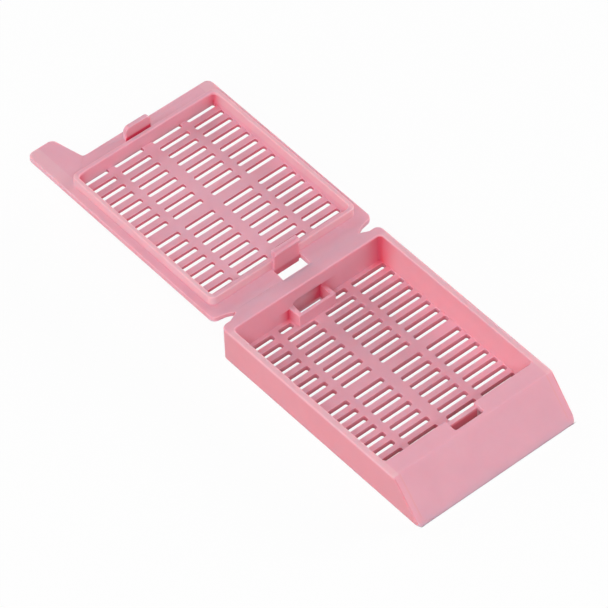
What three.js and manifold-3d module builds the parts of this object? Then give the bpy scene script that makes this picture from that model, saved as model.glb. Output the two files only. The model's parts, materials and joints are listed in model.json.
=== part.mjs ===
// Tissue processing cassette: a slotted tray and a slotted lid, moulded together and joined by a
// thin hinge along the tray's rear rim. The lid is modelled shut, in its place on the tray, and
// then swung back open about the hinge line.
//
// Millimetres, +Z up. The origin is on the standing surface below the middle of the hinge line,
// +X runs to the sloping writing face and +Y across the tray.

import * as THREE from "three";
import { mergeVertices } from "three/addons/utils/BufferGeometryUtils.js";
import Module from "manifold-3d";

// ---------------------------------------------------------------- tray body
const BODY_LENGTH = 41.2;        // hinge line to the foot of the writing face
const BODY_WIDTH = 28.5;         // across the side walls, at the rim
const BODY_HEIGHT = 6.0;
const BODY_DRAFT = 0.15;         // each side wall leans in by this much towards the foot
const RIM_LENGTH = 35.9;         // hinge line to the top edge of the writing face
const SIDE_WALL = 1.05;          // at the rim
const REAR_SETBACK = 0.6;        // hinge line to the rear wall's outer face
const REAR_WALL = 1.5;
const FRONT_RIM = 2.8;           // flat strip between the tray and the writing face
const FRONT_WALL = 0.7;          // upright wall between the tray and the hollow behind it
const TOP_WALL = 1.0;            // thickness of that flat strip
const FACE_WALL = 1.0;           // thickness of the writing face
const FLOOR = 0.9;
const BODY_CORNER = 1.0;         // outer upright corners
const TRAY_CORNER = 0.6;         // inner upright corners
const CORNER_STEPS = 4;

// ---------------------------------------------------------------- hinge
const HINGE_GAP = 0.3;           // bare width bridged by the hinge film
const HINGE_WIDTH = 22.8;        // length of the hinge line
const HINGE_LIP = 1.0;           // thickness of the tray's lip at the hinge
const SHUT_GAP = 0.3;            // shut lid's seating face above the rim
const OPEN_ANGLE = 179.5;        // degrees from shut to standing open
const LIP_RUN = 1.1;             // slant from the tray's lip back to its rear wall
const NOTCH_STEP = 0.4;          // step back of the flange beside the hinge line
const NOTCH_RUN = 0.9;           // length of that step
const NOTCH_TAPER = 0.35;        // further step back out to the flange's corner
const NOTCH_CORNER = 0.3;

// ---------------------------------------------------------------- slots
const SLOT_WIDTH = 0.92;         // in the tray
const LID_SLOT_WIDTH = 0.8;
const SLOT_CORNER = 0.25;
const SLOT_STEPS = 2;
const ROW_PITCH = 1.847;
const WIDE_BAR = 0.78;           // extra width of the bar between the two groups of rows
const FIRST_GROUP = 8;           // rows before the wide bar
const SECOND_GROUP = 7;          // rows after it
const TRAY_ROW_INSET = 1.12;     // tray's rear wall to the middle of the first row
const LID_ROW_INSET = 0.2;       // lid ring's far wall to the middle of the first row
const ROW_MARGIN = 0.2;          // least land between a slot's side and a wall
const CENTRE_BAR = 1.8;          // between the two middle columns
const COLUMN_BAR = 1.15;         // between a middle and an outer column
const MIDDLE_SLOT = 5.1;
const SLOT_LAND = 0.15;          // between an outer slot's end and the wall beside it

// ---------------------------------------------------------------- lid
const LID_OVERHANG = 0.05;       // flange past the tray's side walls
const FLANGE = 0.9;
const FLANGE_CORNER = 1.0;
const RING_WALL = 0.7;
const RING_DROP = 1.5;           // below the seating face
const RING_CORNER = 1.0;
const RING_CLEARANCE = 0.15;     // to the tray's side walls
const RING_FRONT_CLEARANCE = 0.1;
const RING_REAR_CLEARANCE = 0.5; // to the tray's rear wall, past which the ring swings
const PANEL = 0.55;
const PANEL_RISE = 0.8;          // seating face up to the panel's inner face
const TAB_WIDTH = 5.8;           // finger tab along the lid's front edge
const TAB_SLANT = 1.3;           // how much narrower the tab's tip is than its root
const TAB_CORNER = 1.0;
const TAB_ROOT_CORNER = 0.5;

// ---------------------------------------------------------------- rear tongue and its pocket
const TONGUE_WIDTH = 4.4;
const TONGUE = 0.75;
const TONGUE_DROP = 3.45;
const TONGUE_CLEARANCE = 0.15;   // to the tray's rear wall
const BARB = 0.3;                // barb's reach towards the rear wall
const BARB_HEIGHT = 0.6;
const BARB_SLOPE = 0.3;          // height of the slope behind the barb
const BARB_CHAMFER = 0.25;
const BACK_CHAMFER = 0.15;
const HINGE_HOLE_MARGIN = 0.25;  // each side of the tongue
const POCKET_MARGIN = 0.4;       // each side of the tongue
const POCKET_DEPTH = 1.65;       // from the tray's rear wall
const POCKET_FRONT = 0.5;        // thickness of its front wall
const POCKET_WALL = 0.7;         // thickness of its side walls
const POCKET_HEIGHT = 3.0;       // above the standing surface
const POCKET_HOLE = 0.6;         // floor opening's reach into the pocket
const KEEPER_DEPTH = 0.5;        // undercut in the rear wall that takes the barb
const KEEPER_HEIGHT = 3.7;       // top of the undercut above the standing surface
const STUB_GAP = 0.4;            // a shortened slot's end to the pocket's wall

// ---------------------------------------------------------------- front catch and its slot
const CATCH_WIDTH = 4.4;
const CATCH = 0.7;
const CATCH_DROP = 2.35;
const CATCH_CLEARANCE = 0.25;    // to the tray's front wall
const CATCH_ROUND = 0.8;         // rounded lower corners of the catch
const BEAD = 0.15;               // bead's reach off the catch's outer face
const BEAD_HEIGHT = 0.4;
const BEAD_DROP = 1.85;          // seating face down to the bead
const CATCH_SLOT = 1.45;         // slot's width along X
const CATCH_SLOT_CORNER = 0.35;  // its two corners towards the writing face
const CATCH_SLOT_MARGIN = 0.35;  // each side of the catch
const WALL_DIP = 0.6;            // the front wall is lower by this much at the slot

// ---------------------------------------------------------------- derived places
const AXIS_Z = BODY_HEIGHT + SHUT_GAP;
const HALF_WIDTH = BODY_WIDTH / 2;
const HALF_HINGE = HINGE_WIDTH / 2;
const LIP_X = HINGE_GAP / 2;
const TRAY_REAR = REAR_SETBACK + REAR_WALL;
const TRAY_FRONT = RIM_LENGTH - FRONT_RIM;
const TRAY_SIDE = HALF_WIDTH - SIDE_WALL;
const HOLLOW_REAR = TRAY_FRONT + FRONT_WALL;
const LID_SIDE = HALF_WIDTH + LID_OVERHANG;
const RING_REAR = TRAY_REAR + RING_REAR_CLEARANCE;
const RING_FRONT = TRAY_FRONT - RING_FRONT_CLEARANCE;
const RING_SIDE = TRAY_SIDE - RING_CLEARANCE;
const PANEL_TOP = PANEL_RISE + PANEL;
const TONGUE_X = TRAY_REAR + TONGUE_CLEARANCE;
const CATCH_X = HOLLOW_REAR + CATCH_CLEARANCE;
const POCKET_SIDE = TONGUE_WIDTH / 2 + POCKET_MARGIN;
const CATCH_SLOT_SIDE = CATCH_WIDTH / 2 + CATCH_SLOT_MARGIN;
const THROUGH = BODY_HEIGHT;     // how far a through cut runs past the faces that it cuts

const wasm = await Module();
wasm.setup();

// ---------------------------------------------------------------- solids from three.js geometry
function solid(geometry) {
  const bare = geometry.clone();
  bare.deleteAttribute("normal");
  bare.deleteAttribute("uv");
  const merged = mergeVertices(bare, 1e-5);
  return new wasm.Manifold(new wasm.Mesh({
    numProp: 3,
    vertProperties: new Float32Array(merged.attributes.position.array),
    triVerts: new Uint32Array(merged.index.array),
  }));
}

function geometryOf(body) {
  const mesh = body.getMesh();
  const geometry = new THREE.BufferGeometry();
  geometry.setAttribute("position", new THREE.BufferAttribute(mesh.vertProperties, 3));
  geometry.setIndex(new THREE.BufferAttribute(mesh.triVerts, 1));
  geometry.computeVertexNormals();
  return geometry;
}

function box(x0, x1, y0, y1, z0, z1) {
  const geometry = new THREE.BoxGeometry(x1 - x0, y1 - y0, z1 - z0);
  geometry.translate((x0 + x1) / 2, (y0 + y1) / 2, (z0 + z1) / 2);
  return solid(geometry);
}

function upright(shape, z0, z1, steps = CORNER_STEPS) {
  const geometry = new THREE.ExtrudeGeometry(shape, {
    depth: z1 - z0,
    bevelEnabled: false,
    curveSegments: steps,
  });
  geometry.translate(0, 0, z0);
  return geometry;
}

// A side view drawn in X and Z, as thick as y0 to y1.
function across(shape, y0, y1, steps = CORNER_STEPS) {
  const geometry = upright(shape, 0, y1 - y0, steps);
  geometry.rotateX(Math.PI / 2);
  geometry.translate(0, y1, 0);
  return solid(geometry);
}

// A front view drawn in Y and Z, as thick as x0 to x1.
function along(shape, x0, x1, steps = CORNER_STEPS) {
  const geometry = upright(shape, 0, x1 - x0, steps);
  geometry.rotateX(Math.PI / 2);
  geometry.rotateZ(Math.PI / 2);
  geometry.translate(x0, 0, 0);
  return solid(geometry);
}

function polygon(points) {
  return new THREE.Shape(points.map(([x, y]) => new THREE.Vector2(x, y)));
}

// An outline through the given corners, each rounded by its own radius (0 leaves it sharp).
function roundedPolygon(corners) {
  const shape = new THREE.Shape();
  corners.forEach(([x, y, radius], index) => {
    const corner = new THREE.Vector2(x, y);
    const [px, py] = corners[(index + corners.length - 1) % corners.length];
    const [nx, ny] = corners[(index + 1) % corners.length];
    const back = new THREE.Vector2(px - x, py - y).normalize();
    const ahead = new THREE.Vector2(nx - x, ny - y).normalize();
    const half = Math.acos(THREE.MathUtils.clamp(back.dot(ahead), -1, 1)) / 2;
    const reach = radius / Math.tan(half);
    const start = corner.clone().addScaledVector(back, reach);
    const end = corner.clone().addScaledVector(ahead, reach);
    if (index === 0) {
      shape.moveTo(start.x, start.y);
    } else {
      shape.lineTo(start.x, start.y);
    }
    if (radius > 0) {
      const centre = corner.clone()
        .add(back.clone().add(ahead).normalize().multiplyScalar(radius / Math.sin(half)));
      const clockwise = back.cross(ahead) > 0;
      shape.absarc(centre.x, centre.y, radius,
        Math.atan2(start.y - centre.y, start.x - centre.x),
        Math.atan2(end.y - centre.y, end.x - centre.x), clockwise);
    }
  });
  shape.closePath();
  return shape;
}

function roundedBox(x0, x1, y0, y1, radius) {
  return roundedPolygon([[x0, y0, radius], [x1, y0, radius], [x1, y1, radius], [x0, y1, radius]]);
}

// Leans the side walls of an upright prism in towards its foot.
function lean(geometry, halfWidth, draft, height) {
  const position = geometry.attributes.position;
  for (let index = 0; index < position.count; index += 1) {
    const drop = 1 - position.getZ(index) / height;
    position.setY(index, position.getY(index) * (1 - (draft / halfWidth) * drop));
  }
  return geometry;
}

// ---------------------------------------------------------------- slot patterns
// Middles of the rows, walking from the first row in steps of the pitch, with the wide bar between
// the two groups. Rows that would reach past the end are left out.
function rowMiddles(start, end, width) {
  const direction = Math.sign(end - start);
  const middles = [];
  for (let row = 0; row < FIRST_GROUP + SECOND_GROUP; row += 1) {
    const extra = row < FIRST_GROUP ? 0 : WIDE_BAR;
    const middle = start + direction * (row * ROW_PITCH + extra);
    if ((end - middle) * direction > width / 2 + ROW_MARGIN) {
      middles.push(middle);
    }
  }
  return middles;
}

// The columns on the +Y side, as [near end, far end].
function columnSpans(side) {
  const middle = [CENTRE_BAR / 2, CENTRE_BAR / 2 + MIDDLE_SLOT];
  const outer = [middle[1] + COLUMN_BAR, side - SLOT_LAND];
  return [middle, outer];
}

// All slots of one panel, both sides of the middle, through z0 to z1. keepClear holds the half
// width and the end of a stretch near the hinge that a slot may only pass beside.
function slotCutters(middles, width, side, z0, z1, keepClear) {
  const cutters = [];
  const cut = (middle, near, far) => {
    const shape = roundedBox(middle - width / 2, middle + width / 2, near, far, SLOT_CORNER);
    cutters.push(solid(upright(shape, z0, z1, SLOT_STEPS)));
  };
  for (const middle of middles) {
    const shortened = middle - width / 2 < keepClear.end;
    for (const [near, far] of columnSpans(side)) {
      const from = shortened ? Math.max(near, keepClear.halfWidth) : near;
      if (far - from > width) {
        cut(middle, from, far);
        cut(middle, -far, -from);
      }
    }
  }
  return cutters;
}

// ---------------------------------------------------------------- tray
// Side view of the body: square at the rear, sloping at the front.
function bodyProfile() {
  return polygon([
    [REAR_SETBACK, 0],
    [BODY_LENGTH, 0],
    [RIM_LENGTH, BODY_HEIGHT],
    [REAR_SETBACK, BODY_HEIGHT],
  ]);
}

function bodyOutline() {
  return roundedBox(REAR_SETBACK, BODY_LENGTH, -HALF_WIDTH, HALF_WIDTH, BODY_CORNER);
}

// Plan of the lip that carries the hinge, stepping back beside the hinge line.
function lipOutline() {
  const back = TRAY_REAR - REAR_WALL / 2;
  return polygon([
    [LIP_X, -HALF_HINGE],
    [REAR_SETBACK, -HALF_HINGE - LIP_RUN],
    [back, -HALF_HINGE - LIP_RUN],
    [back, HALF_HINGE + LIP_RUN],
    [REAR_SETBACK, HALF_HINGE + LIP_RUN],
    [LIP_X, HALF_HINGE],
  ]);
}

// Side view of the hollow behind the front wall: under the rim strip and the writing face, open below.
function hollowProfile() {
  const slope = new THREE.Vector2(BODY_LENGTH - RIM_LENGTH, -BODY_HEIGHT);
  const tilt = slope.x / BODY_HEIGHT;
  const sideways = FACE_WALL * slope.length() / BODY_HEIGHT;
  const innerX = (z) => RIM_LENGTH + (BODY_HEIGHT - z) * tilt - sideways;
  const top = BODY_HEIGHT - TOP_WALL;
  return polygon([
    [HOLLOW_REAR, -FLOOR],
    [innerX(-FLOOR), -FLOOR],
    [innerX(top), top],
    [HOLLOW_REAR, top],
  ]);
}

// U-shaped wall on the inside of the rear wall.
function pocketWalls() {
  const back = TRAY_REAR - REAR_WALL / 2;
  const front = TRAY_REAR + POCKET_DEPTH;
  const side = POCKET_SIDE + POCKET_WALL;
  const outer = box(back, front + POCKET_FRONT, -side, side, FLOOR / 2, POCKET_HEIGHT);
  const inner = box(TRAY_REAR, front, -POCKET_SIDE, POCKET_SIDE, FLOOR, POCKET_HEIGHT + THROUGH);
  return outer.subtract(inner);
}

function buildTray() {
  const plan = lean(upright(bodyOutline(), 0, BODY_HEIGHT), HALF_WIDTH, BODY_DRAFT, BODY_HEIGHT);
  const profile = across(bodyProfile(), -BODY_WIDTH, BODY_WIDTH);
  let tray = solid(plan).intersect(profile);
  tray = tray.add(solid(upright(lipOutline(), BODY_HEIGHT - HINGE_LIP, BODY_HEIGHT)));

  const inside = roundedBox(TRAY_REAR, TRAY_FRONT, -TRAY_SIDE, TRAY_SIDE, TRAY_CORNER);
  tray = tray.subtract(solid(upright(inside, FLOOR, BODY_HEIGHT + THROUGH)));
  const hollowSide = TRAY_SIDE - BODY_DRAFT;
  tray = tray.subtract(across(hollowProfile(), -hollowSide, hollowSide));
  tray = tray.add(pocketWalls());

  const pocketEnd = TRAY_REAR + POCKET_DEPTH + POCKET_FRONT;
  const middles = rowMiddles(TRAY_REAR + TRAY_ROW_INSET, TRAY_FRONT, SLOT_WIDTH);
  const clear = { end: pocketEnd + ROW_MARGIN, halfWidth: POCKET_SIDE + POCKET_WALL + STUB_GAP };
  for (const cutter of slotCutters(middles, SLOT_WIDTH, TRAY_SIDE, -FLOOR, 2 * FLOOR, clear)) {
    tray = tray.subtract(cutter);
  }

  // Undercut for the barb, open through the floor.
  tray = tray.subtract(box(TRAY_REAR - KEEPER_DEPTH, TRAY_REAR + POCKET_HOLE,
    -POCKET_SIDE, POCKET_SIDE, -FLOOR, FLOOR + (KEEPER_HEIGHT - FLOOR) / 2));
  tray = tray.subtract(box(TRAY_REAR - KEEPER_DEPTH, TRAY_REAR,
    -POCKET_SIDE, POCKET_SIDE, FLOOR, KEEPER_HEIGHT));

  // Slot for the front catch, with the tray's front wall lowered beside it.
  const slotEnd = HOLLOW_REAR + CATCH_SLOT;
  const slot = roundedPolygon([
    [HOLLOW_REAR, -CATCH_SLOT_SIDE, 0],
    [slotEnd, -CATCH_SLOT_SIDE, CATCH_SLOT_CORNER],
    [slotEnd, CATCH_SLOT_SIDE, CATCH_SLOT_CORNER],
    [HOLLOW_REAR, CATCH_SLOT_SIDE, 0],
  ]);
  tray = tray.subtract(solid(upright(slot, BODY_HEIGHT - 2 * TOP_WALL, BODY_HEIGHT + THROUGH)));
  tray = tray.subtract(box(TRAY_FRONT - FRONT_WALL, HOLLOW_REAR + CATCH_SLOT / 2,
    -CATCH_SLOT_SIDE, CATCH_SLOT_SIDE, BODY_HEIGHT - WALL_DIP, BODY_HEIGHT + THROUGH));
  return tray;
}

// ---------------------------------------------------------------- lid, shut, from its hinge axis
// Plan of the flange, with the finger tab at the front on the -Y side.
function flangeOutline() {
  const notchX = LIP_X + NOTCH_STEP;
  const notchY = HALF_HINGE + NOTCH_RUN;
  const sideRear = notchX + NOTCH_TAPER;
  const tabRoot = -LID_SIDE + TAB_WIDTH;
  const tabTip = tabRoot - TAB_SLANT;
  return roundedPolygon([
    [LIP_X, HALF_HINGE, NOTCH_CORNER],
    [LIP_X, -HALF_HINGE, NOTCH_CORNER],
    [notchX, -notchY, NOTCH_CORNER],
    [sideRear, -LID_SIDE, FLANGE_CORNER],
    [BODY_LENGTH, -LID_SIDE, TAB_CORNER],
    [BODY_LENGTH, tabTip, TAB_CORNER],
    [RIM_LENGTH, tabRoot, TAB_ROOT_CORNER],
    [RIM_LENGTH, LID_SIDE, FLANGE_CORNER],
    [sideRear, LID_SIDE, FLANGE_CORNER],
    [notchX, notchY, NOTCH_CORNER],
  ]);
}

// Side view of the rear tongue, from the panel's outer face to the barb turned to the rear wall.
function tongueProfile() {
  const front = TONGUE_X - BARB;
  const back = TONGUE_X + TONGUE;
  const barbTop = -TONGUE_DROP + BARB_HEIGHT;
  return polygon([
    [TONGUE_X, PANEL_TOP],
    [TONGUE_X, barbTop + BARB_SLOPE],
    [front, barbTop],
    [front, -TONGUE_DROP + BARB_CHAMFER],
    [front + BARB_CHAMFER, -TONGUE_DROP],
    [back - BACK_CHAMFER, -TONGUE_DROP],
    [back, -TONGUE_DROP + BACK_CHAMFER],
    [back, PANEL_TOP],
  ]);
}

// Front view of the catch, with its lower corners rounded.
function catchOutline() {
  const side = CATCH_WIDTH / 2;
  return roundedPolygon([
    [-side, FLANGE / 2, 0],
    [-side, -CATCH_DROP, CATCH_ROUND],
    [side, -CATCH_DROP, CATCH_ROUND],
    [side, FLANGE / 2, 0],
  ]);
}

// Side view of the bead across the catch's outer face.
function beadProfile() {
  const face = CATCH_X + CATCH;
  return polygon([
    [face - CATCH / 2, -BEAD_DROP],
    [face - CATCH / 2, -BEAD_DROP - BEAD_HEIGHT],
    [face, -BEAD_DROP - BEAD_HEIGHT],
    [face + BEAD, -BEAD_DROP - BEAD_HEIGHT / 2],
    [face, -BEAD_DROP],
  ]);
}

function buildLid() {
  let lid = solid(upright(flangeOutline(), 0, FLANGE));

  const outer = roundedBox(RING_REAR, RING_FRONT, -RING_SIDE, RING_SIDE, RING_CORNER);
  lid = lid.add(solid(upright(outer, -RING_DROP, PANEL_TOP)));
  const inner = roundedBox(RING_REAR + RING_WALL, RING_FRONT - RING_WALL,
    -RING_SIDE + RING_WALL, RING_SIDE - RING_WALL, RING_CORNER - RING_WALL / 2);
  lid = lid.subtract(solid(upright(inner, -RING_DROP - THROUGH, PANEL_RISE)));

  // The first row of slots reaches under the foot of the ring's far wall.
  const panelEnd = RING_FRONT - RING_WALL;
  const panelSide = RING_SIDE - RING_WALL;
  const above = PANEL_TOP + PANEL;
  const room = box(0, panelEnd, -panelSide, panelSide, -THROUGH, 2 * THROUGH)
    .add(box(RING_REAR, RING_FRONT, -panelSide, panelSide, PANEL_RISE, 2 * THROUGH));
  const middles = rowMiddles(panelEnd - LID_ROW_INSET, RING_REAR + RING_WALL, LID_SLOT_WIDTH);
  const clear = { end: 0, halfWidth: 0 };
  for (const cutter of slotCutters(middles, LID_SLOT_WIDTH, panelSide, 0, above, clear)) {
    lid = lid.subtract(cutter.intersect(room));
  }

  // Opening between the hinge line and the tongue.
  const holeSide = TONGUE_WIDTH / 2 + HINGE_HOLE_MARGIN;
  lid = lid.subtract(box(0, TONGUE_X, -holeSide, holeSide, -THROUGH, THROUGH));
  lid = lid.add(across(tongueProfile(), -TONGUE_WIDTH / 2, TONGUE_WIDTH / 2));
  lid = lid.add(along(catchOutline(), CATCH_X, CATCH_X + CATCH));
  const beadSide = CATCH_WIDTH / 2 - CATCH_ROUND;
  lid = lid.add(across(beadProfile(), -beadSide, beadSide));
  return lid;
}

// ---------------------------------------------------------------- the cassette
function node(name, body) {
  const material = new THREE.MeshStandardMaterial({ color: 0xe79db0, roughness: 0.55, metalness: 0 });
  const mesh = new THREE.Mesh(geometryOf(body), material);
  mesh.name = name;
  return mesh;
}

const cassette = new THREE.Group();
cassette.add(node("base", buildTray()));

const hinge = new THREE.Group();
hinge.position.z = AXIS_Z;
hinge.rotation.y = -THREE.MathUtils.degToRad(OPEN_ANGLE);
hinge.add(node("lid", buildLid()));
cassette.add(hinge);

export default cassette;
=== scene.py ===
# %% [markdown]
# # Tissue cassette
# A tissue cassette is a small plastic box for a piece of tissue. Its tray and its lid are one
# moulding, joined by two thin strips of plastic that bend as a hinge. The solids come from the
# CAD model in metres, so this file only has to give them the softened edges, the hinge strips,
# the plastic and the light that the real one has.

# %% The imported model
import json
import math
import bpy
import bmesh
from mathutils import Matrix, Vector


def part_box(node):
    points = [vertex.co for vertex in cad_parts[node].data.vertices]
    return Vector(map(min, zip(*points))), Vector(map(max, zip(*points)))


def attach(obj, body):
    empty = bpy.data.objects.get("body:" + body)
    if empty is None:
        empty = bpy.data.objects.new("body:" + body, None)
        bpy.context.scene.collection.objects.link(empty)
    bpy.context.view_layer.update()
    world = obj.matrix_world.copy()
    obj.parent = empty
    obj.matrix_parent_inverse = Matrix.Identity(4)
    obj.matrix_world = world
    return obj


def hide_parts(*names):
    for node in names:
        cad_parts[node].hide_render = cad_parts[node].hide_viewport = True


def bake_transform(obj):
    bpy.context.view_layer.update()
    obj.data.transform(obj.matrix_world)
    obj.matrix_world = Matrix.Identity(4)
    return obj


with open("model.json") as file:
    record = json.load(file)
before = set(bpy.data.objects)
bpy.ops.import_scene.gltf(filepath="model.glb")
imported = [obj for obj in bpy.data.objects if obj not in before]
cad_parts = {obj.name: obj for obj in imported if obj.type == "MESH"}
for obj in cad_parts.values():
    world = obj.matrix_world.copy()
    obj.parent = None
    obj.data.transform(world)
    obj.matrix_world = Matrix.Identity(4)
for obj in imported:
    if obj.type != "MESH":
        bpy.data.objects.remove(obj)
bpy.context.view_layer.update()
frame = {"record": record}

MM = 0.001
tray_low, tray_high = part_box("base")
lid_low, lid_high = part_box("lid")
print("tray", tray_low, tray_high)
print("lid", lid_low, lid_high)

# %% [markdown]
# ## The camera
# The cassette lies open on a table and is seen from above one corner with a long lens, so its
# parallel edges stay nearly parallel. The camera is put where it sees the wedge at the front,
# one long side and the inside of tray and lid. It looks at a point near the hinge.

# %% Camera
LENS, SENSOR = 309.97, 36.0
NEAREST, FARTHEST = 0.05, 5.0
ROLL = math.radians(-1.0)

camera_data = bpy.data.cameras.new("camera")
camera_data.sensor_width = SENSOR
camera_data.lens = LENS
camera_data.clip_start = NEAREST
camera_data.clip_end = FARTHEST
camera = bpy.data.objects.new("camera", camera_data)
bpy.context.scene.collection.objects.link(camera)
bpy.context.scene.camera = camera

camera_place = Vector((367.49, -306.60, 536.57)) * MM
looked_at = Vector((2.879, -1.331, 3.0)) * MM
aim = (looked_at - camera_place).to_track_quat("-Z", "Y").to_matrix().to_4x4()
camera.matrix_world = (Matrix.Translation(camera_place) @ aim
                       @ Matrix.Rotation(ROLL, 4, "Z"))
print("camera stands", round((looked_at - camera_place).length, 3), "m away")

# %% [markdown]
# ## Selecting and copying
# The shells of tray and lid start as copies of the CAD solids, because their shape is already
# right. A CAD mesh is loose triangles, so the copy is merged first, and the small triangles on
# each flat face are dissolved into one face. Only then do its edges mean something that can be
# bevelled.

# %% Picking and copying
MERGE_WITHIN = 1e-6
FLAT_WITHIN = math.radians(0.5)


def only(piece):
    """Leaves this piece alone selected and active."""
    for other in bpy.context.selected_objects:
        other.select_set(False)
    piece.select_set(True)
    bpy.context.view_layer.objects.active = piece


def shell_of(node, name):
    """A merged copy of a CAD solid, with each of its flat faces whole."""
    piece = bpy.data.objects.new(name, bpy.data.objects[node].data.copy())
    bpy.context.scene.collection.objects.link(piece)
    only(piece)
    bpy.ops.object.mode_set(mode="EDIT")
    bpy.ops.mesh.select_all(action="SELECT")
    bpy.ops.mesh.remove_doubles(threshold=MERGE_WITHIN)
    bpy.ops.mesh.dissolve_limited(angle_limit=FLAT_WITHIN, delimit={"NORMAL"})
    bpy.ops.object.mode_set(mode="OBJECT")
    print(name, "starts with", len(piece.data.polygons), "faces")
    return piece


def select_faces(piece, wanted):
    """In edit mode, leaves the faces selected that wanted(face, centre) picks."""
    bpy.context.tool_settings.mesh_select_mode = (False, False, True)
    bpy.ops.mesh.select_all(action="DESELECT")
    mesh = bmesh.from_edit_mesh(piece.data)
    for face in mesh.faces:
        face.select_set(bool(wanted(face, face.calc_center_median() / MM)))
    bmesh.update_edit_mesh(piece.data)
    return sum(face.select for face in mesh.faces)


# %% [markdown]
# ## Softening edges
# A bevel runs along picked edges and needs them sharp, so only edges that fold by 32 degrees or
# more are offered to the pick. That leaves out the short steps of the round corners. After each
# bevel the open edges are counted, because a mould has none.

# %% A bevel that picks its edges
SHARP_FOLD = 32.0
CLOSE = 0.01


def same(first, second):
    """Whether two places, in millimetres, are close enough to be one."""
    return abs(first - second) < CLOSE


def middle_of(edge):
    return (edge.verts[0].co + edge.verts[1].co) / 2 / MM


def open_edges(piece):
    """How many edges don't have exactly two faces."""
    mesh = bmesh.new()
    mesh.from_mesh(piece.data)
    count = sum(not edge.is_manifold for edge in mesh.edges)
    mesh.free()
    return count


def bevel_where(piece, wanted, width, segments, clamp=True):
    """Bevels the sharp edges that wanted(edge, middle, fold) picks; outer folds are above 0."""
    only(piece)
    bpy.ops.object.mode_set(mode="EDIT")
    bpy.context.tool_settings.mesh_select_mode = (False, True, False)
    bpy.ops.mesh.select_all(action="DESELECT")
    mesh = bmesh.from_edit_mesh(piece.data)
    count = 0
    for edge in mesh.edges:
        if not edge.is_manifold:
            continue
        fold = math.degrees(edge.calc_face_angle_signed(0.0))
        if abs(fold) >= SHARP_FOLD and wanted(edge, middle_of(edge), fold):
            edge.select_set(True)
            count += 1
    bmesh.update_edit_mesh(piece.data)
    bpy.ops.mesh.bevel(offset=width * MM, offset_type="OFFSET", segments=segments,
                       profile=0.5, affect="EDGES", clamp_overlap=clamp)
    bpy.ops.object.mode_set(mode="OBJECT")
    print(piece.name, "bevelled", count, "edges by", width, "mm, open:", open_edges(piece))


# %% [markdown]
# ## Flat faces that bevel cleanly
# A flat face with holes has to be stored as pieces, and the edges between the pieces run at any
# slant. A bevel slides along those edges and would tear the face. So each flat face is cut
# square across through the middle of every slot, and the slanting edges are dissolved. What is
# left between two rows of slots is one simple face.

# %% Rows of slots
SHORT_END = (0.2, 0.5)


def row_middles(piece, height):
    """Where the rows of slots lie along X, from the short straight ends of the slots."""
    middles = set()
    mesh = bmesh.new()
    mesh.from_mesh(piece.data)
    for edge in mesh.edges:
        run = (edge.verts[0].co - edge.verts[1].co) / MM
        middle = middle_of(edge)
        along_x = same(run.y, 0.0) and same(run.z, 0.0)
        if along_x and SHORT_END[0] < abs(run.x) < SHORT_END[1] and same(middle.z, height):
            middles.add(round(middle.x, 2))
    mesh.free()
    return sorted(middles)


# %% Tidying a flat face
ON_CUT = 0.002


def tidy_flat(piece, height, cuts):
    """Cuts the flat faces at this height across at these places, and clears their slants."""
    only(piece)
    bpy.ops.object.mode_set(mode="EDIT")

    def flat(face):
        return all(same(vert.co.z / MM, height) for vert in face.verts)

    def across(edge):
        ends = [vert.co.x / MM for vert in edge.verts]
        on_cuts = all(any(abs(end - cut) < ON_CUT for cut in cuts) for end in ends)
        return on_cuts and abs(ends[0] - ends[1]) < ON_CUT

    for cut in cuts:
        select_faces(piece, lambda face, centre: flat(face))
        bpy.ops.mesh.bisect(plane_co=(cut * MM, 0.0, 0.0), plane_no=(1.0, 0.0, 0.0))
    bpy.context.tool_settings.mesh_select_mode = (False, True, False)
    bpy.ops.mesh.select_all(action="DESELECT")
    mesh = bmesh.from_edit_mesh(piece.data)
    for edge in mesh.edges:
        inside = len(edge.link_faces) == 2 and all(flat(face) for face in edge.link_faces)
        edge.select_set(inside and not across(edge))
    bmesh.update_edit_mesh(piece.data)
    bpy.ops.mesh.dissolve_edges(use_verts=True, use_face_split=False)
    kept = sum(flat(face) for face in bmesh.from_edit_mesh(piece.data).faces)
    bpy.ops.object.mode_set(mode="OBJECT")
    print(piece.name, "has", kept, "flat faces at", round(height, 2))


# %% [markdown]
# ## The tray's shell
# The mould leaves no edge quite sharp. The rim and the wedge have edges of a fifth of a
# millimetre, the pocket and the catch's slot are a little finer, and the floor's slots have
# only a breath of radius, because the steel that makes them is cut that way. Each kind of edge
# is picked by where it lies, in millimetres, and bevelled in its own step. Clamping is left off
# where one short edge would thin the bevels of its whole group.

# %% Places on the tray
FLOOR_TOP, RIM_TOP = 0.9, 6.0
RIM_END, POCKET_HOLE_END = 35.9, 2.75
SIDE_BAND, REAR_BAND, FRONT_BAND = 0.3, 1.0, 41.0
LIP, LIP_HALF = 0.15, 11.42
half_width = tray_high.y / MM
slot_reach = half_width - 1.1

# Each zone runs from x to x, reaches y to both sides, and runs from z to z.
FLOOR_ZONE = (1.9, 34.5, slot_reach, -CLOSE, 1.0)
POCKET_ZONE = (2.2, 4.4, 3.5, 1.0, 3.1)
CATCH_SLOT_ZONE = (33.0, 35.4, 2.7, 4.9, 6.1)


def within(place, zone):
    x_low, x_high, y, z_low, z_high = zone
    return x_low < place.x < x_high and abs(place.y) < y and z_low < place.z < z_high


def level(edge):
    return same(edge.verts[0].co.z / MM, edge.verts[1].co.z / MM)


def at_hinge(middle):
    return abs(middle.x) < LIP + CLOSE and abs(middle.y) < LIP_HALF


# %% Edges of the tray
def tray_slot(edge, middle, fold):
    underneath = middle.z < CLOSE and middle.x > POCKET_HOLE_END
    at_face = same(middle.z, FLOOR_TOP) or underneath
    return fold > 0 and level(edge) and within(middle, FLOOR_ZONE) and at_face


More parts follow.
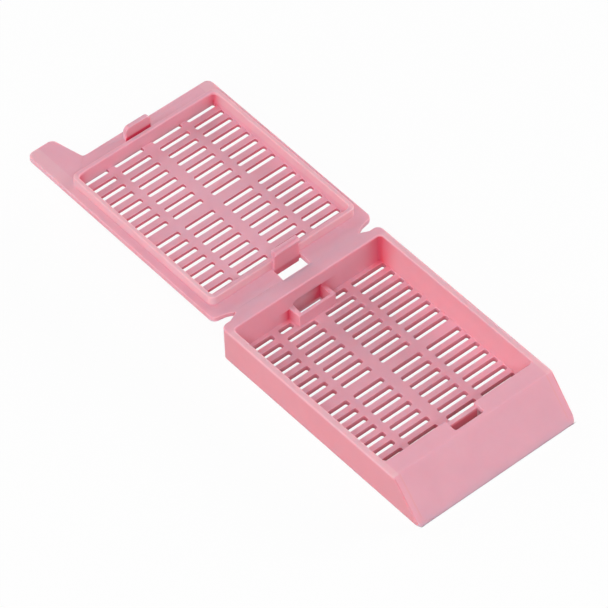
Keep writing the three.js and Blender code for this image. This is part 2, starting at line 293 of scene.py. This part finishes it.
def pocket_edge(edge, middle, fold):
    return fold > 0 and within(middle, POCKET_ZONE)


def catch_slot_edge(edge, middle, fold):
    return fold > 0 and within(middle, CATCH_SLOT_ZONE)


def rim_edge(edge, middle, fold):
    on_top = same(middle.z, RIM_TOP) and not at_hinge(middle)
    at_side = abs(middle.y) > half_width - SIDE_BAND
    on_slope = middle.x > RIM_END and at_side and not level(edge)
    return fold > 0 and (on_top or on_slope) and not catch_slot_edge(edge, middle, fold)


def foot_edge(edge, middle, fold):
    at_end = middle.x < REAR_BAND or middle.x > FRONT_BAND
    at_side = abs(middle.y) > half_width - SIDE_BAND
    return fold > 0 and middle.z < CLOSE and (at_end or at_side)


# %% Tray shell
POCKET_CUT, TRAY_CUT, HOLLOW_CUT = 2.3, 15.0, 37.0

tray = shell_of("base", "tray")
tray_rows = row_middles(tray, FLOOR_TOP)
print("rows of slots", tray_rows)
tidy_flat(tray, FLOOR_TOP, tray_rows)
tidy_flat(tray, 0.0, [POCKET_CUT, *tray_rows, HOLLOW_CUT])
tidy_flat(tray, RIM_TOP, [TRAY_CUT])

# Each line says the width in millimetres and how many steps round it has.
bevel_where(tray, tray_slot, 0.07, 2, clamp=False)
bevel_where(tray, rim_edge, 0.2, 3, clamp=False)
bevel_where(tray, pocket_edge, 0.14, 3, clamp=False)
bevel_where(tray, catch_slot_edge, 0.14, 3, clamp=False)
bevel_where(tray, foot_edge, 0.12, 2, clamp=False)

# %% [markdown]
# ## The lid's shell
# The lid lies open and leans half a degree from level, as its hinge holds it. It is turned level
# about the hinge line while it is shaped, so that its edges can be picked by height, and is
# leaned again later. The ring has the roundest edges, so that it slides into the tray, and a
# fillet runs where the ring stands on the flange.

# %% Places on the lid
hinge_joint = frame["record"]["behaviour"]["joints"][0]
HINGE_Z = hinge_joint["pos_m"][2]
LEAN = math.radians(180.0 - hinge_joint["range_deg"][1])
SEAT = HINGE_Z / MM
FLANGE_FOOT = SEAT - 0.9
PANEL_TOP, PANEL_FOOT, RING_TOP = SEAT - 0.8, SEAT - 1.35, SEAT + 1.5

PANEL_ZONE = (-32.28, -3.2, 12.36, 4.9, 5.6)
OPENING_ZONE = (-2.3, -0.1, 2.5, 5.3, 6.4)
TONGUE_ZONE = (-3.2, -1.8, 2.4, SEAT + 0.1, 10.0)
TONGUE_FOOT_ZONE = (-3.5, -1.8, 2.5, 6.0, 7.0)
CATCH_ZONE = (-35.2, -33.4, 2.4, SEAT + 0.1, 9.0)
CATCH_FOOT_ZONE = (-35.2, -33.0, 2.4, 6.0, 7.0)


def turned(piece, angle):
    """Turns a mesh about the hinge line."""
    hinge = Vector((0.0, 0.0, HINGE_Z))
    piece.data.transform(Matrix.Translation(hinge) @ Matrix.Rotation(angle, 4, "Y")
                         @ Matrix.Translation(-hinge))


print("the lid leans", round(math.degrees(LEAN), 2), "degrees, its seat is at", SEAT)


# %% Edges of the lid
def lid_slot(edge, middle, fold):
    at_face = same(middle.z, PANEL_TOP) or same(middle.z, PANEL_FOOT)
    return fold > 0 and level(edge) and at_face and within(middle, PANEL_ZONE)


def tongue_edge(edge, middle, fold):
    return fold > 0 and within(middle, TONGUE_ZONE)


def catch_edge(edge, middle, fold):
    return fold > 0 and within(middle, CATCH_ZONE)


def ring_edge(edge, middle, fold):
    raised = tongue_edge(edge, middle, fold) or catch_edge(edge, middle, fold)
    return fold > 0 and same(middle.z, RING_TOP) and not raised


def flange_edge(edge, middle, fold):
    at_face = same(middle.z, SEAT) or same(middle.z, FLANGE_FOOT)
    left_sharp = within(middle, OPENING_ZONE) or at_hinge(middle)
    return fold > 0 and level(edge) and at_face and not left_sharp


def ring_foot(edge, middle, fold):
    left_sharp = within(middle, TONGUE_FOOT_ZONE) or within(middle, CATCH_FOOT_ZONE)
    return fold < 0 and level(edge) and same(middle.z, SEAT) and not left_sharp


# %% Lid shell
LID_CUT = -15.0

lid = shell_of("lid", "lid_panel")
turned(lid, -LEAN)
lid_rows = row_middles(lid, PANEL_TOP)
print("rows of slots", lid_rows)
tidy_flat(lid, PANEL_TOP, lid_rows)
tidy_flat(lid, PANEL_FOOT, lid_rows)
for height in (SEAT, FLANGE_FOOT, RING_TOP):
    tidy_flat(lid, height, [LID_CUT])
bevel_where(lid, lid_slot, 0.06, 2, clamp=False)
bevel_where(lid, ring_edge, 0.17, 3, clamp=False)
bevel_where(lid, tongue_edge, 0.12, 3)
bevel_where(lid, catch_edge, 0.1, 3)
bevel_where(lid, flange_edge, 0.15, 3, clamp=False)
bevel_where(lid, ring_foot, 0.25, 3)

# %% [markdown]
# ## Tops that meet at the hinge
# The lid's flange stands 0.3 millimetres above the tray's rim, and on the moulding the two run
# into each other without a step. So both tops are cut across near the hinge and their cuts are
# raised or lowered onto one gentle slope. The tray takes the lower half of the slope and the
# lid the upper half.

# %% The slope at the hinge
CROWN, STEP_UP = 1.3, 0.3
SLOPE_CUTS = (CROWN, 1.0, 0.75, 0.5, 0.3)
EDGE_DEPTH = 0.22


def crown(x):
    """How far the joined tops stand above the tray's rim, x millimetres from the hinge line."""
    part = min(max((CROWN - x) / (2 * CROWN), 0.0), 1.0)
    return STEP_UP * (3 * part ** 2 - 2 * part ** 3)


# %% Moving the tops onto the slope
def crown_top(piece, top, side):
    """Brings a flat top near the hinge onto the slope; side is +1 for the tray, -1 for the lid."""
    only(piece)
    bpy.ops.object.mode_set(mode="EDIT")

    def at_top(vert):
        return (top - EDGE_DEPTH) * MM < vert.co.z < (top + CLOSE) * MM

    def on_slope(vert):
        return at_top(vert) and abs(vert.co.x) < CROWN * MM

    for cut in SLOPE_CUTS:
        select_faces(piece, lambda face, centre: all(at_top(vert) for vert in face.verts))
        bpy.ops.mesh.bisect(plane_co=(side * cut * MM, 0.0, 0.0), plane_no=(1.0, 0.0, 0.0))
    mesh = bmesh.from_edit_mesh(piece.data)
    places = sorted({round(vert.co.x / MM, 3) for vert in mesh.verts if on_slope(vert)})
    bpy.context.tool_settings.mesh_select_mode = (True, False, False)
    for place in places:
        bpy.ops.mesh.select_all(action="DESELECT")
        mesh = bmesh.from_edit_mesh(piece.data)
        for vert in mesh.verts:
            vert.select_set(on_slope(vert) and round(vert.co.x / MM, 3) == place)
        bmesh.update_edit_mesh(piece.data)
        lift = RIM_TOP + crown(place) - top
        bpy.ops.transform.translate(value=(0.0, 0.0, lift * MM))
    bpy.ops.object.mode_set(mode="OBJECT")
    print(piece.name, "top moved at", len(places), "places, open:", open_edges(piece))


crown_top(tray, RIM_TOP, 1)
crown_top(lid, SEAT, -1)
turned(lid, LEAN)

# %% [markdown]
# ## The living hinge
# Tray, hinge and lid came out of the mould as one piece. Light that enters the plastic spreads
# through it, so a seam between separate meshes would show as a dark line. Tray and lid are
# joined into one mesh, and two strips of film, 0.3 millimetres thick, are bridged from lip to
# lip, one on each side of the tongue's opening. Each lip's end face is first cut to the height
# and length of the strip. The bridge has short steps, because that is where it bends.

# %% Joining tray and lid
FILM, OPENING, HINGE_END = 0.3, 2.45, 11.15
FILM_STEPS = 12
LIP_SLACK = 0.012
FACES_ALONG_X = 0.99

only(tray)
lid.select_set(True)
bpy.ops.object.join()
cassette = tray
cassette.name = "cassette"


def lip_face(face):
    return abs(face.normal.x) > FACES_ALONG_X and all(
        abs(abs(vert.co.x / MM) - LIP) < LIP_SLACK for vert in face.verts)


only(cassette)
bpy.ops.object.mode_set(mode="EDIT")
for side in (1, -1):
    def this_lip(face, centre):
        return lip_face(face) and centre.x * side > 0

    film_foot = (RIM_TOP + crown(side * LIP) - FILM) * MM
    planes = [((0.0, 0.0, film_foot), (0.0, 0.0, 1.0))]
    planes += [((0.0, y * MM, 0.0), (0.0, 1.0, 0.0))
               for y in (-HINGE_END, -OPENING, OPENING, HINGE_END)]
    for point, normal in planes:
        print("lip faces", select_faces(cassette, this_lip))
        bpy.ops.mesh.bisect(plane_co=point, plane_no=normal)

# %% Bridging the two strips
for side in (1, -1):
    def strip_end(face, centre):
        return (lip_face(face) and OPENING < centre.y * side < HINGE_END
                and centre.z > RIM_TOP + crown(0.0) - FILM)

    print("strip ends", select_faces(cassette, strip_end))
    bpy.ops.mesh.bridge_edge_loops(number_cuts=FILM_STEPS, interpolation="LINEAR")
bpy.ops.object.mode_set(mode="OBJECT")
print("cassette", len(cassette.data.polygons), "faces, open:", open_edges(cassette))

# %% [markdown]
# ## The trimmed film
# In front of the tongue's opening the film is cut off short, and what is left stays on the
# tray's lip as a ledge. It doesn't bend, so it is a piece of its own, extruded in steps that
# follow the slope of the tops.

# %% Ledge along the opening
LEDGE_ROOT, SUNK_ROOT, SUNK_TIP = 0.6, 0.02, 0.002
LEDGE_OVERLAP = 0.02
ledge_places = [LEDGE_ROOT, LIP + SUNK_ROOT, LIP, 0.0, -LIP]


def ledge_height(x):
    """The middle of the ledge's thickness, which is sunk a little where it is inside the tray."""
    sunk = SUNK_ROOT if x > LIP + CLOSE else SUNK_TIP
    return RIM_TOP + crown(x) - FILM / 2 - sunk


def ledge_tip(edge, middle, fold):
    return middle.x < CLOSE - LIP


only(cassette)
cassette.select_set(False)
bpy.ops.mesh.primitive_plane_add(
    size=1.0, location=(ledge_places[0] * MM, 0.0, ledge_height(ledge_places[0]) * MM),
    rotation=(0.0, math.radians(90.0), 0.0))
ledge = bpy.context.active_object
ledge.name = "hinge_ledge"
ledge.scale = (FILM * MM, 2 * (OPENING + LEDGE_OVERLAP) * MM, 1.0)
bpy.ops.object.transform_apply(location=True, rotation=True, scale=True)
bpy.ops.object.mode_set(mode="EDIT")
bpy.ops.mesh.select_all(action="SELECT")
for here, there in zip(ledge_places, ledge_places[1:]):
    rise = ledge_height(there) - ledge_height(here)
    bpy.ops.mesh.extrude_region_move(TRANSFORM_OT_translate={
        "value": ((there - here) * MM, 0.0, rise * MM)})
bpy.ops.mesh.select_all(action="SELECT")
bpy.ops.mesh.normals_make_consistent(inside=False)
bpy.ops.object.mode_set(mode="OBJECT")
bevel_where(ledge, ledge_tip, 0.08, 3)

# %% [markdown]
# ## Shading that keeps flats flat
# Bevels only look right when the large faces keep their own direction and the bevel carries the
# whole turn. Weighted normals do that.

# %% Smooth shading
SMOOTH_BELOW = math.radians(40.0)

for piece in (cassette, ledge):
    only(piece)
    bpy.ops.object.shade_smooth_by_angle(angle=SMOOTH_BELOW)
    bpy.ops.object.modifier_add(type="WEIGHTED_NORMAL")
    piece.modifiers[-1].keep_sharp = True
    bpy.ops.object.modifier_apply(modifier=piece.modifiers[-1].name)
    print(piece.name, "shaded,", len(piece.data.polygons), "faces")

# %% [markdown]
# ## Marking wells and tops
# The slots are narrow wells: little light reaches their walls, and what leaves them has been
# through the plastic and is deep red, so their walls are marked for painted shade. The tops that
# face up are marked for a painted grey sheen that makes them a little duller than the walls,
# while their rounded edges, left unmarked, stay bright as painted highlights. Both are marked on
# the faces as a number that the plastic's shader reads.

# %% Marks on the faces
INSIDE = 0.02
FLOOR_WELLS = (2.2, 34.5, slot_reach, INSIDE, FLOOR_TOP - INSIDE)
PANEL_WELLS = (-32.4, -3.2, 12.4, PANEL_FOOT + INSIDE, PANEL_TOP - INSIDE)
UPRIGHT, FACING_UP = 0.5, 0.97


def mark_faces(piece, name, wanted):
    """Stores 1 on the faces that wanted(normal, centre) picks, with the lid levelled."""
    hinge = Vector((0.0, 0.0, SEAT))
    upright = Matrix.Rotation(-LEAN, 3, "Y")
    marks = piece.data.attributes.new(name, "FLOAT", "FACE")
    for face in piece.data.polygons:
        centre, normal = face.center / MM, face.normal
        if centre.x < 0.0:
            centre, normal = upright @ (centre - hinge) + hinge, upright @ normal
        marks.data[face.index].value = float(wanted(normal, centre))
    print(piece.name, name, sum(mark.value for mark in marks.data))


def well_wall(normal, centre):
    in_slot = within(centre, FLOOR_WELLS) or within(centre, PANEL_WELLS)
    return abs(normal.z) < UPRIGHT and in_slot


# Up-facing tops, which get a painted grey sheen; their unmarked bevels stay bright as painted
# highlights.
def painted_sheen_top(normal, centre):
    return normal.z > FACING_UP and centre.z > PANEL_FOOT


for piece in (cassette, ledge):
    mark_faces(piece, "well_wall", well_wall)
    mark_faces(piece, "painted_sheen_top", painted_sheen_top)

# %% [markdown]
# ## The pink plastic
# The cassette is moulded in a pink acetal, a waxy plastic that lets a little light in. Light
# goes in at one face and comes out warmer nearby, so thin walls and inside corners look redder
# than the flat tops. A shader is a chain of small sums, and a wrapper lets them be written as
# plain sums here.

# %% A wrapper for shader maths
class Knot:
    """A socket, with arithmetic that ties Math nodes to it."""
    tree = None

    def __init__(self, socket):
        self.socket = socket

    @classmethod
    def node(cls, kind, settings=None, out=0, **values):
        made = cls.tree.nodes.new("ShaderNode" + kind)
        for name, value in (settings or {}).items():
            setattr(made, name, value)
        for name, value in values.items():
            numbered = name[0] == "i" and name[1:].isdigit()
            key = int(name[1:]) if numbered else name.replace("_", " ")
            if isinstance(value, Knot):
                cls.tree.links.new(value.socket, made.inputs[key])
            else:
                made.inputs[key].default_value = value
        return cls(made.outputs[out]) if made.outputs else None

    def maths(self, operation, other):
        return self.node("Math", {"operation": operation}, i0=self, i1=other)

    def __add__(self, other):
        return self.maths("ADD", other)

    __radd__ = __add__

    def __mul__(self, other):
        return self.maths("MULTIPLY", other)

    __rmul__ = __mul__


def clamped(value):
    """The value, kept between 0 and 1."""
    return Knot.node("Clamp", Value=value)


# %% New materials
def new_material(name):
    material = bpy.data.materials.new(name)
    material.use_nodes = True
    material.node_tree.nodes.clear()
    Knot.tree = material.node_tree
    return material


def linear(red, green, blue):
    """An sRGB colour of 0 to 255 as the linear colour that a socket takes."""
    parts = []
    for part in (red, green, blue):
        part /= 255.0
        parts.append(part / 12.92 if part <= 0.04045 else ((part + 0.055) / 1.055) ** 2.4)
    return (*parts, 1.0)


# %% [markdown]
# ## Clouds and grain
# The melt flows into the mould through one gate, and the dye is never quite even in it, so the
# pink has faint clouds a few millimetres wide. The skin has the fine grain of the blasted
# mould. Both are noise in the piece's own space.

# %% Base colour
PALE_PINK, FULL_PINK = linear(232, 167, 183), linear(240, 177, 191)
CLOUD_SCALE, GRAIN_SCALE = 260.0, 9000.0

plastic = new_material("pink_plastic_moulded")
spot = Knot.node("TexCoord", out=3)
clouds = Knot.node("TexNoise", Vector=spot, Scale=CLOUD_SCALE, Detail=3.0, Roughness=0.55)
grain = Knot.node("TexNoise", Vector=spot, Scale=GRAIN_SCALE, Detail=2.0, Roughness=0.6)
colour = Knot.node("Mix", {"data_type": "RGBA"}, out=2, i0=clouds, i6=PALE_PINK, i7=FULL_PINK)
print("pink runs from", PALE_PINK[:3], "to", FULL_PINK[:3])

# %% [markdown]
# ## Painted light and shade by place
# Where light has to pass through much plastic before it comes out, the pink is painted a deep
# red shade: in upright corners, in narrow wells, behind the ring. Each such place is a mask made
# of ramps along the axes, in millimetres, and the colour is multiplied by a tone where the mask is
# on. The scattering in the shader is too weak to redden them alone, so the painted shade adds what
# it leaves out.
# The masks are placed for the lid lying open and don't turn with it, so on a shut lid the tone
# of the tray's rims falls on the lid's side edges.

# %% Ramps and bands
def toned(colour, share, tone):
    """The colour multiplied by a tone, by this share of it."""
    return Knot.node("Mix", {"data_type": "RGBA", "blend_type": "MULTIPLY"}, out=2,
                     i0=share, i6=colour, i7=(*tone, 1.0))


def ramp(value, low, high):
    """0 at low and 1 at high, in millimetres."""
    return Knot.node("MapRange", Value=value, From_Min=low * MM, From_Max=high * MM)


def band(value, start, full, last, end):
    """Rises from start to full, stays at 1, and falls from last to end."""
    return ramp(value, start, full) * ramp(value, end, last)


x, y, z = (Knot.node("SeparateXYZ", out=axis, Vector=spot) for axis in range(3))
aside = Knot.node("Math", {"operation": "ABSOLUTE"}, i0=y)
print("plastic has", len(Knot.tree.nodes), "nodes so far")

# %% Painted shade in upright corners
# Each line stands at x and y, reaches this far round itself, and runs from z to z.
TRAY_LINES = [(2.1, 13.1, 4.5, 0.7, 5.7), (1.6, 2.6, 3.4, 0.7, 3.6), (2.1, -3.5, 2.0, 0.9, 2.6)]
RING_LINES = [(-32.3, 12.3, 2.2, 5.4, 7.6), (-32.3, -12.3, 2.2, 5.4, 7.6)]
FADE_BELOW, FADE_ABOVE = 0.3, 0.2

plan = Knot.node("VectorMath", {"operation": "MULTIPLY"}, i0=spot, i1=(1.0, 1.0, 0.0))


def upright_corner_shade(at_x, at_y, reach, low, high):
    """Painted shade, strongest along an upright line, between two heights."""
    away = Knot.node("VectorMath", {"operation": "DISTANCE"}, out=1, i0=plan,
                     i1=(at_x * MM, at_y * MM, 0.0))
    near = ramp(away, reach, 0.0)
    return near * near * band(z, low - FADE_BELOW, low, high, high + FADE_ABOVE)


def corners(lines):
    total = upright_corner_shade(*lines[0])
    for line in lines[1:]:
        total = total + upright_corner_shade(*line)
    return total


in_tray = ramp(x, 1.2, 1.5) * ramp(aside, 13.8, 13.4)
in_ring = ramp(x, -32.7, -32.4) * ramp(aside, 12.7, 12.4)
corner_shade = in_tray * corners(TRAY_LINES) + in_ring * corners(RING_LINES)
print("deep corners:", len(TRAY_LINES), "in the tray,", len(RING_LINES), "in the ring")

# %% Painted shade in narrow places
TONGUE_SHARE, TONGUE_FOOT_SHARE, POCKET_SHARE = 0.22, 0.45, 0.45

tongue_face = band(x, -2.6, -2.4, -2.15, -2.0) * ramp(aside, 2.5, 2.4)
tongue_shade = tongue_face * (TONGUE_SHARE + TONGUE_FOOT_SHARE * ramp(z, 6.3, 5.9))
shade_behind_ring = (band(x, -34.15, -34.08, -33.6, -33.3) * ramp(aside, 2.35, 2.2)
               * band(z, SEAT - 0.15, SEAT - 0.05, RING_TOP - 0.75, RING_TOP - 0.35))
catch_slot_shade = (band(x, 33.7, 33.8, 35.3, 35.4) * ramp(aside, 2.7, 2.6)
                 * band(z, 2.4, 3.6, 4.8, 5.6))
pocket_shade = (POCKET_SHARE * band(x, 1.2, 1.4, 2.15, 2.3) * ramp(aside, 2.65, 2.5)
             * band(z, 0.2, 0.5, 0.9, 2.2))
# All the painted shade of corners and narrow places, in one mask.
deep = clamped(corner_shade + tongue_shade + pocket_shade + shade_behind_ring + catch_slot_shade)
print("deep places are masked, nodes so far", len(Knot.tree.nodes))

# %% [markdown]
# ## Painted shade and light on walls, rims and ring
# The tray's outer walls take much of their light from the table and through the plastic, so
# they are given a painted shade deeper than the base colour, and its inner side walls a little
# painted shade too, as are the flange's sides. The rims along its sides and the lid's ring are
# thin and lit from both sides, so they get painted light that makes them a little lighter. The
# lid's far end stands a little higher than its seat at the hinge, so out there the flange's mask
# covers its side but not its top.

# %% Masks of painted shade and light on walls and rims
outer_wall_shade = (clamped(ramp(aside, 13.9, 14.05) + ramp(x, 1.0, 0.75))
               * ramp(x, 0.45, 0.58) * ramp(z, 5.9, 5.6))
inner_side_shade = (band(aside, 12.98, 13.05, 13.15, 13.25) * ramp(x, 1.8, 2.2)
               * band(z, 0.85, 1.0, 5.8, 5.95))
flange_side_shade = (ramp(aside, 12.98, 13.2) * band(x, -34.0, -33.0, -2.5, -1.5)
                * ramp(z, SEAT + 0.05, SEAT - 0.05))
side_rim_light = ramp(aside, 13.15, 13.3) * ramp(x, 2.0, 2.5) * ramp(z, 5.85, 5.95)
above_seat = ramp(z, SEAT + 0.1, SEAT + 0.4)
ring_side_light = ramp(aside, 12.25, 12.35) * ramp(x, -2.4, -2.6) * above_seat
ring_rear_light = band(x, -2.8, -2.65, -2.45, -2.3) * ramp(aside, 2.5, 2.8) * above_seat
thin_edge_light = clamped(side_rim_light + ring_side_light + ring_rear_light)
print("walls and rims are masked, nodes so far", len(Knot.tree.nodes))

# %% [markdown]
# ## Painted shade in wells, painted sheen on tops
# The walls of the slots were marked on the faces and get painted shade. In the tray it is
# reddest low down, and in the thin lid nearly as red from top to foot. The row nearest the tray's
# front wall gets a darker painted shade still, because that wall keeps the light from it. The
# marked tops get a painted grey sheen that tones them down a little, and less and less towards
# the writing slope, which is left as it is.

# %% Painting light and shade into the colour
OUTER_SHADE_TONE, INNER_SHADE_TONE, FLANGE_SHADE_TONE = (0.91, 0.71, 0.70), (1.0, 0.95, 0.87), (0.95, 0.85, 0.84)
THIN_LIGHT_TONE, TOP_SHEEN_TONE, DEEP_SHADE_TONE = (1.02, 1.17, 1.09), (0.89, 0.95, 0.96), (0.82, 0.15, 0.26)
WELL_SHADE_TONE, FRONT_WELL_SHADE_TONE = (0.62, 0.2, 0.28), (0.72, 0.36, 0.45)
WELL_SHARE, LOW_WELL_SHARE = 0.4, 0.6
LID_WELL_SHARE, FRONT_WELL_SHARE = 0.75, 0.75

# These face marks carry painted shade on the wells' walls and a painted sheen on the tops.
well = Knot.node("Attribute", {"attribute_name": "well_wall"}, out=2)
top = Knot.node("Attribute", {"attribute_name": "painted_sheen_top"}, out=2)
# Painted shade on the wells' walls: deepest low down in the tray, nearly even in the lid, darker
# still by the front wall.
low_down = clamped(ramp(z, 0.85, 0.15) + LID_WELL_SHARE * ramp(x, -1.0, -2.0))
well_shade = well * (WELL_SHARE + LOW_WELL_SHARE * low_down)
front_well_shade = FRONT_WELL_SHARE * well * ramp(x, 28.2, 28.6) * ramp(z, 1.2, 0.9)
# Painted shade deepens walls, flange sides, corners and wells, painted light brightens the thin
# rims and ring, and a painted grey sheen dulls the tops.
tones = [
    (outer_wall_shade, OUTER_SHADE_TONE), (inner_side_shade, INNER_SHADE_TONE), (flange_side_shade, FLANGE_SHADE_TONE),
    (thin_edge_light, THIN_LIGHT_TONE), (top * ramp(x, 34.0, 28.0), TOP_SHEEN_TONE), (deep, DEEP_SHADE_TONE),
    (well_shade, WELL_SHADE_TONE), (front_well_shade, FRONT_WELL_SHADE_TONE),
]
for share, tone in tones:
    colour = toned(colour, share, tone)
print("colour toned", len(tones), "times")

# %% [markdown]
# ## The finished plastic
# Acetal is neither glossy nor chalky, and the grain of its skin only breaks up the highlights. A
# good share of the light that goes in comes out a millimetre or so away, and red goes furthest.

# %% Shader of the plastic
INDEX = 1.48
ROUGHNESS, CLOUD_ROUGHNESS, GRAIN_ROUGHNESS = 0.42, 0.12, 0.06
GRAIN_STRENGTH, GRAIN_DEPTH = 0.25, 0.00003
SPREAD_SHARE, SPREAD_REACH = 0.7, 0.0016
SPREAD_BY_COLOUR = (1.0, 0.35, 0.3)

roughness = ROUGHNESS + CLOUD_ROUGHNESS * clouds + GRAIN_ROUGHNESS * grain
skin = Knot.node("Bump", Strength=GRAIN_STRENGTH, Distance=GRAIN_DEPTH, Height=grain)
shader = Knot.node("BsdfPrincipled", Base_Color=colour, Roughness=roughness, Normal=skin,
                   IOR=INDEX, Subsurface_Weight=SPREAD_SHARE,
                   Subsurface_Radius=SPREAD_BY_COLOUR, Subsurface_Scale=SPREAD_REACH)
Knot.node("OutputMaterial", Surface=shader)

for piece in (cassette, ledge):
    piece.data.materials.clear()
    piece.data.materials.append(plastic)
for node in ("base", "lid"):
    bpy.data.objects[node].material_slots[0].material = plastic
print(plastic.name, "has", len(Knot.tree.nodes), "nodes")

# %% [markdown]
# ## Floor and light
# A plain white floor carries the light under the cassette and back up its walls. Four large soft
# lamps stand round it: one above and in front to the left, one low on the right, one on the left
# and one behind the lid. They leave soft shadows, and the room itself is nearly dark. Floor and
# backdrop glow white only where they are seen, so the glow sheds no light on the plastic.

# %% Floor
FLOOR_SIZE, FLOOR_DROP = 3.0, 0.02 * MM
FLOOR_GREY = (0.86, 0.86, 0.86, 1.0)
WHITE = (1.0, 1.0, 1.0, 1.0)
GLOW_SHARE = 0.95

only(cassette)
cassette.select_set(False)
bpy.ops.mesh.primitive_grid_add(x_subdivisions=4, y_subdivisions=4, size=FLOOR_SIZE,
                                location=(0.0, 0.0, -FLOOR_DROP))
floor = bpy.context.active_object
floor.name = "floor"
white = new_material("white_floor")


def seen_rays():
    """1 for what the camera sees, straight on, in a reflection or through glass."""
    straight, mirrored, through = (Knot.node("LightPath", out=name) for name in (
        "Is Camera Ray", "Is Glossy Ray", "Is Transmission Ray"))
    return clamped(straight + mirrored + through)


sheet = Knot.node("BsdfDiffuse", Color=FLOOR_GREY)
glow = Knot.node("Emission", Color=WHITE, Strength=1.0)
mixed = Knot.node("MixShader", i0=GLOW_SHARE * seen_rays(), i1=sheet, i2=glow)
Knot.node("OutputMaterial", Surface=mixed)
floor.data.materials.append(white)
print("floor", tuple(floor.dimensions))

# %% Lamps
# Where each lamp stands, how wide it is, and its power in watts.
LAMPS = {
    "key": ((0.5, -0.42, 0.7), 0.5, 5.2),
    "right": ((0.15, 0.85, 0.25), 0.45, 5.3),
    "left": ((0.05, -0.8, 0.35), 0.5, 2.7),
    "behind": ((-0.8, 0.0, 0.4), 0.5, 3.1),
}


def soft_lamp(name, place, size, power):
    """A round lamp that faces the middle of the scene."""
    data = bpy.data.lights.new(name, "AREA")
    data.shape = "DISK"
    data.size = size
    data.energy = power
    lamp = bpy.data.objects.new(name, data)
    bpy.context.scene.collection.objects.link(lamp)
    lamp.location = place
    lamp.rotation_mode = "QUATERNION"
    lamp.rotation_quaternion = (-Vector(place)).to_track_quat("-Z", "Y")


for name, (place, size, power) in LAMPS.items():
    soft_lamp(name, place, size, power)
    print("lamp", name, "of", power, "W")

# %% Room and backdrop
ROOM = (0.02, 0.02, 0.02, 1.0)

world = bpy.data.worlds.new("room")
bpy.context.scene.world = world
world.use_nodes = True
world.node_tree.nodes.clear()
Knot.tree = world.node_tree
room = Knot.node("Background", Color=ROOM, Strength=1.0)
backdrop = Knot.node("Background", Color=WHITE, Strength=1.0)
both = Knot.node("MixShader", i0=seen_rays(), i1=room, i2=backdrop)
Knot.node("OutputWorld", Surface=both)
bpy.context.scene.view_settings.view_transform = "Standard"
print("room is", ROOM[0], "bright")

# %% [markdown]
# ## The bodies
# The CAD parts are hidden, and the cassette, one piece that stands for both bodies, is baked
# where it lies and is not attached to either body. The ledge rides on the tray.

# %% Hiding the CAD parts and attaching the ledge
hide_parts("base", "lid")
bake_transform(cassette)
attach(ledge, "base")
